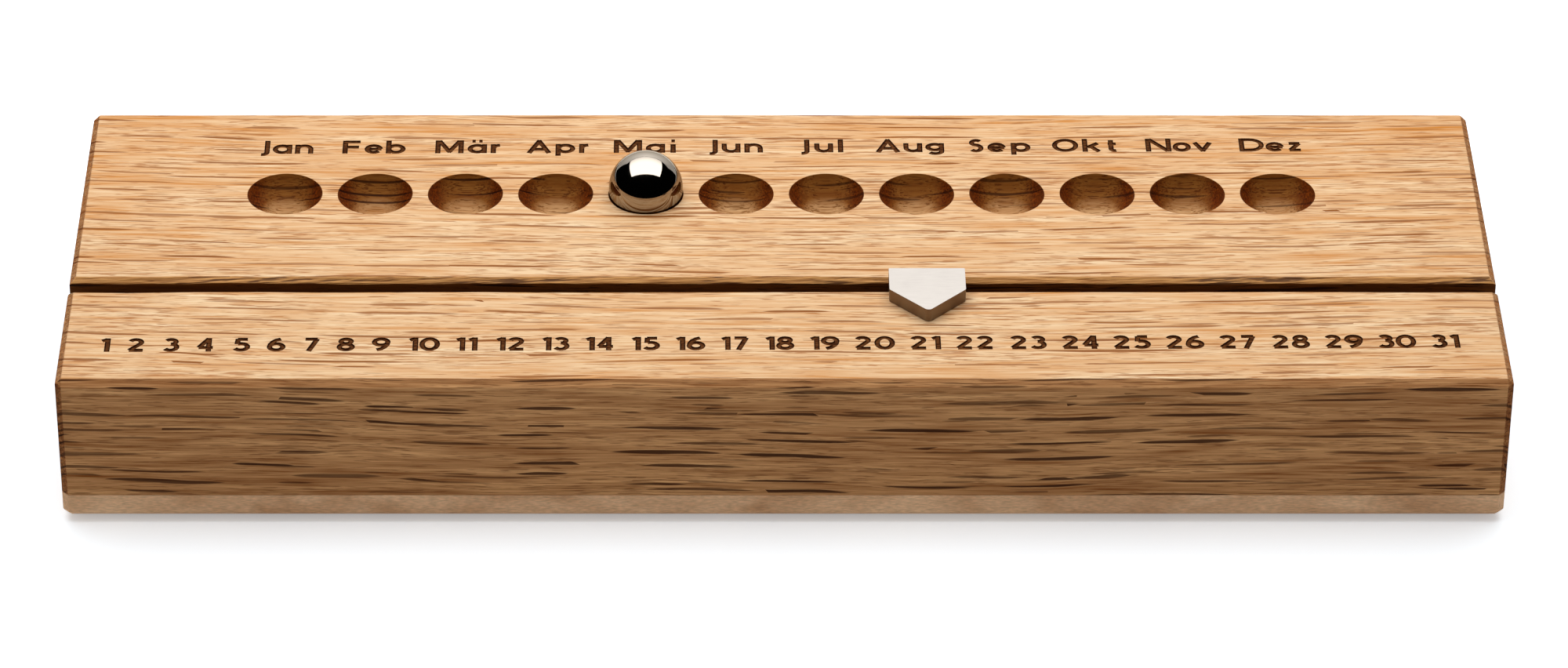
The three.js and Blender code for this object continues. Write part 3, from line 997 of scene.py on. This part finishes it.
screw_seats = {}
for name in screw_names:
    low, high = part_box(name)
    screw_seats[name] = Vector(((low.x + high.x) / 2, (low.y + high.y) / 2, low.z))
cutter = turned_shape("screw_hole_cutter", screw_hole_profile(), screw_steps)
for piece, names in (
    (base_plate, screw_names),
    (front_bar, [name for name in screw_names if screw_seats[name].y < 0]),
    (rear_bar, [name for name in screw_names if screw_seats[name].y > 0]),
):
    pattern = copy_at(cutter, "screw_holes", Vector((0, 0, 0)))
    carve(piece, place_copies(pattern, [screw_seats[name] for name in names]))
bpy.data.objects.remove(cutter)

pattern = wood_screw(zinc_steel())
for name in screw_names:
    screw = copy_at(pattern, name.replace("base_screw", "wood_screw"), screw_seats[name])
    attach(screw, "block")
    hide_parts(name)
bpy.data.objects.remove(pattern)

# Feet: four discs of pressed grey wool felt, 12 mm across, stuck under the plate's corners. Their
# stamped edge is soft and a little ragged.
foot_names = [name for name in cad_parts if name.startswith("foot_")]
foot_edge_rounding = 0.25 * mm
felt_raggedness = 0.12 * mm
felt_hair_length = 0.9 * mm
foot_steps = 96
foot_smooth_angle = radians(40)


def pressed_felt():
    """Pressed wool felt: grey, wholly matt, mottled by its matted hairs."""
    material, add = new_material("pressed_wool_felt")
    place = add("TexCoord").outputs["Object"]
    hairs = add("TexNoise", {
        "Vector": place, "Scale": 1 / felt_hair_length, "Detail": 5, "Distortion": 1.5,
    })
    colour = add("Mix", {0: hairs, 6: linear("#423f3b"), 7: linear("#77736c")})
    bump = add("Bump", {"Strength": 0.9, "Distance": 0.15 * mm, "Height": hairs})
    shader = add("BsdfPrincipled", {
        "Base Color": colour, "Roughness": 0.95, "Specular IOR Level": 0.1, "Sheen Weight": 0.3,
        "Normal": bump,
    })
    add("OutputMaterial", (shader,))
    return material


def felt_disc(name, low, high):
    """A disc between the two corners of its box, with a rounded and ragged edge."""
    middle = (low + high) / 2
    radius = (high.x - low.x) / 2
    deselect()
    bpy.ops.mesh.primitive_cylinder_add(
        vertices=foot_steps, radius=radius, depth=high.z - low.z, location=middle
    )
    disc = bpy.context.object
    disc.name = name
    bpy.ops.object.transform_apply()
    soften(disc, foot_edge_rounding, segments=3)
    for point in disc.data.vertices:
        out = Vector((point.co.x - middle.x, point.co.y - middle.y, 0))
        if out.length > radius / 2:
            ragged = noise.noise(point.co / (felt_hair_length / 2)) * 0.5 - 0.5
            point.co += out.normalized() * ragged * felt_raggedness
    return disc


felt = pressed_felt()
for name in foot_names:
    foot = felt_disc("felt_" + name, *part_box(name))
    foot.data.materials.append(felt)
    bpy.ops.object.shade_smooth_by_angle(angle=foot_smooth_angle)
    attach(foot, "block")
    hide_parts(name)

# Pointer: a 3 mm plate of stainless steel, ground to a satin, with a square end over the slot and a
# right-angled point towards the days. A tongue of the same steel hangs in the slot and guides it, and
# two dowel pins, pressed in from below, hold the two together.
pointer_side_length = 8 * mm
pointer_tip_radius = 1.1 * mm
pointer_edge_rounding = 0.3 * mm
pointer_corner_rounding = 0.3 * mm
pointer_corner_steps = 10
machined_smooth_angle = radians(50)
tongue_lead_in = 1 * mm
tongue_edge_rounding = 0.15 * mm
pin_clearance = 0.15 * mm
pin_end_chamfer = 0.2 * mm
pin_smooth_angle = radians(30)


def satin_steel(name, base, roughness):
    """Satin ground stainless steel: a warm pale grey whose fine grinding lines run across the plate
    and blur what it reflects. The lines are drawn 0.12 mm wide, wider than real, so that they show."""
    material, add = new_material(name)
    place = add("TexCoord").outputs["Object"]
    lines = blotches(add, place, (4 * mm, 0.12 * mm, 0.12 * mm))
    smudges = add("TexNoise", {"Vector": place, "Scale": 1 / (5 * mm), "Detail": 2})
    streaks = add("MapRange", (lines, 0.25, 0.75, 0.93, 1.05))
    colour = add("Mix", {0: 1.0, 6: linear(base), 7: streaks}, blend_type="MULTIPLY")
    gloss = add("MapRange", (smudges, 0.3, 0.7, roughness - 0.04, roughness + 0.06))
    shader = add("BsdfPrincipled", {"Base Color": colour, "Metallic": 1, "Roughness": gloss})
    add("OutputMaterial", (shader,))
    return material


def even_shading(piece):
    """Smooth edges and flat faces, as on machined steel."""
    pick(piece)
    bpy.ops.object.shade_smooth_by_angle(angle=machined_smooth_angle)
    weights = piece.modifiers.new("even", "WEIGHTED_NORMAL")
    weights.keep_sharp = True
    apply_modifier(piece, weights)


def pin_holes(name):
    """Both holes for the pins, wider than they are by the clearance."""
    profile = [
        (0, pin_low.z - cutter_overrun),
        (pin_radius + pin_clearance, pin_low.z - cutter_overrun),
        (pin_radius + pin_clearance, pin_high.z + pin_clearance),
        (0, pin_high.z + pin_clearance),
    ]
    return place_copies(turned_shape(name, profile, screw_steps), pin_places)


pin_names = ["pointer_pin_left", "pointer_pin_right"]
pin_low, pin_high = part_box(pin_names[0])
pin_radius = (pin_high.x - pin_low.x) / 2
pin_places = []
for name in pin_names:
    low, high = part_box(name)
    pin_places.append(Vector(((low.x + high.x) / 2, (low.y + high.y) / 2, 0)))

low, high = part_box("pointer_plate")
middle_x = (low.x + high.x) / 2
half_width = (high.x - low.x) / 2
square_end = Vector((middle_x, high.y - pointer_side_length / 2, low.z))
deselect()
bpy.ops.mesh.primitive_plane_add(size=1, location=square_end)
pointer_plate = bpy.context.object
pointer_plate.name = "satin_pointer_plate"
pointer_plate.scale = (2 * half_width, pointer_side_length, 1)
bpy.ops.object.transform_apply()
side_end = high.y - pointer_side_length
edit_edges(pointer_plate, lambda a, b: level(a.y, b.y, side_end))
bpy.ops.mesh.subdivide(number_cuts=1)
object_mode()
tip = next(point for point in pointer_plate.data.vertices if abs(point.co.x - middle_x) < touch)
tip.co.y -= half_width
for corner_x, radius in ((0, pointer_tip_radius), (half_width, pointer_corner_rounding)):
    edit_mode("VERT")
    object_mode()
    for point in pointer_plate.data.vertices:
        point.select = abs(abs(point.co.x - middle_x) - corner_x) < touch
    edit_mode()
    bpy.ops.mesh.bevel(offset=radius, segments=pointer_corner_steps, affect="VERTICES")
    object_mode()
edit_mode("FACE", "SELECT")
bpy.ops.mesh.extrude_region_move(TRANSFORM_OT_translate={"value": (0, 0, high.z - low.z)})
bpy.ops.mesh.select_all(action="SELECT")
bpy.ops.mesh.normals_make_consistent(inside=False)
object_mode()
pointer_plate.data.materials.append(satin_steel("satin_stainless_steel", "#aea8a2", 0.45))
carve(pointer_plate, pin_holes("plate_pin_holes"))
soften(pointer_plate, pointer_edge_rounding, segments=3)
# Painted shade and painted reflection: the sides and rounded edges get a darker, browner copy of the steel.
pointer_plate.data.materials.append(satin_steel("stainless_sides_painted_shade", "#857565", 0.42))
for face in pointer_plate.data.polygons:
    if abs(face.normal.z) < 0.95:
        face.material_index = 1
even_shading(pointer_plate)
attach(pointer_plate, "pointer")
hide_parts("pointer_plate")

low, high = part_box("pointer_tongue")
pointer_tongue = block("satin_pointer_tongue", low, high)
pointer_tongue.data.materials.append(satin_steel("satin_tongue_steel", "#a9a39b", 0.38))
tongue_ends = (low.x, high.x)
tongue_foot = low.z
chamfer_edges(
    pointer_tongue,
    tongue_lead_in,
    lambda a, b: level(a.z, b.z, tongue_foot) and any(level(a.x, b.x, end) for end in tongue_ends),
)
carve(pointer_tongue, pin_holes("tongue_pin_holes"))
soften(pointer_tongue, tongue_edge_rounding)
even_shading(pointer_tongue)
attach(pointer_tongue, "pointer")
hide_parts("pointer_tongue")

pin_steel = zinc_steel()
pin_steel.name = "drawn_dowel_steel"
pin_profile = [
    (0, pin_low.z),
    (pin_radius - pin_end_chamfer, pin_low.z),
    (pin_radius, pin_low.z + pin_end_chamfer),
    (pin_radius, pin_high.z - pin_end_chamfer),
    (pin_radius - pin_end_chamfer, pin_high.z),
    (0, pin_high.z),
]
for name, place in zip(pin_names, pin_places):
    pin = place_copies(turned_shape("dowel", pin_profile, screw_steps), [place])
    pin.name = name.replace("pointer_pin", "dowel_pin")
    bpy.ops.object.shade_smooth_by_angle(angle=pin_smooth_angle)
    pin.data.materials.append(pin_steel)
    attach(pin, "pointer")
    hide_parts(name)

# Ball: a 5/8 inch (15.875 mm) bearing ball of hardened chromium steel, ground and polished to a
# mirror. It lies loose in the well of its month and fills it up to the rim.
ball_low, ball_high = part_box("month_ball")
ball_middle = (ball_low + ball_high) / 2
ball_radius = (ball_high.z - ball_low.z) / 2
ball_cuts = 41
ball_smear_length = mm / 0.26
material, add = new_material("polished_bearing_steel")
place = add("TexCoord").outputs["Object"]
smears = add("TexNoise", {"Vector": place, "Scale": 1 / ball_smear_length, "Detail": 3})
gloss = add("MapRange", (smears, 0.35, 0.75, 0.03, 0.09))
shader = add("BsdfPrincipled", {
    "Base Color": linear("#a39a8f"), "Metallic": 1, "Roughness": gloss, "Specular Tint": linear("#d4ccc2"),
})
add("OutputMaterial", (shader,))
deselect()
bpy.ops.mesh.primitive_cube_add(size=2 * ball_radius, location=ball_middle)
ball = bpy.context.object
ball.name = "steel_ball"
edit_mode()
bpy.ops.mesh.subdivide(number_cuts=ball_cuts)
bpy.ops.transform.tosphere(value=1)
object_mode()
bpy.ops.object.transform_apply()
for point in ball.data.vertices:
    point.co = ball_middle + (point.co - ball_middle).normalized() * ball_radius
bpy.ops.object.shade_smooth()
ball.data.materials.append(material)
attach(ball, "ball")
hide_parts("month_ball")
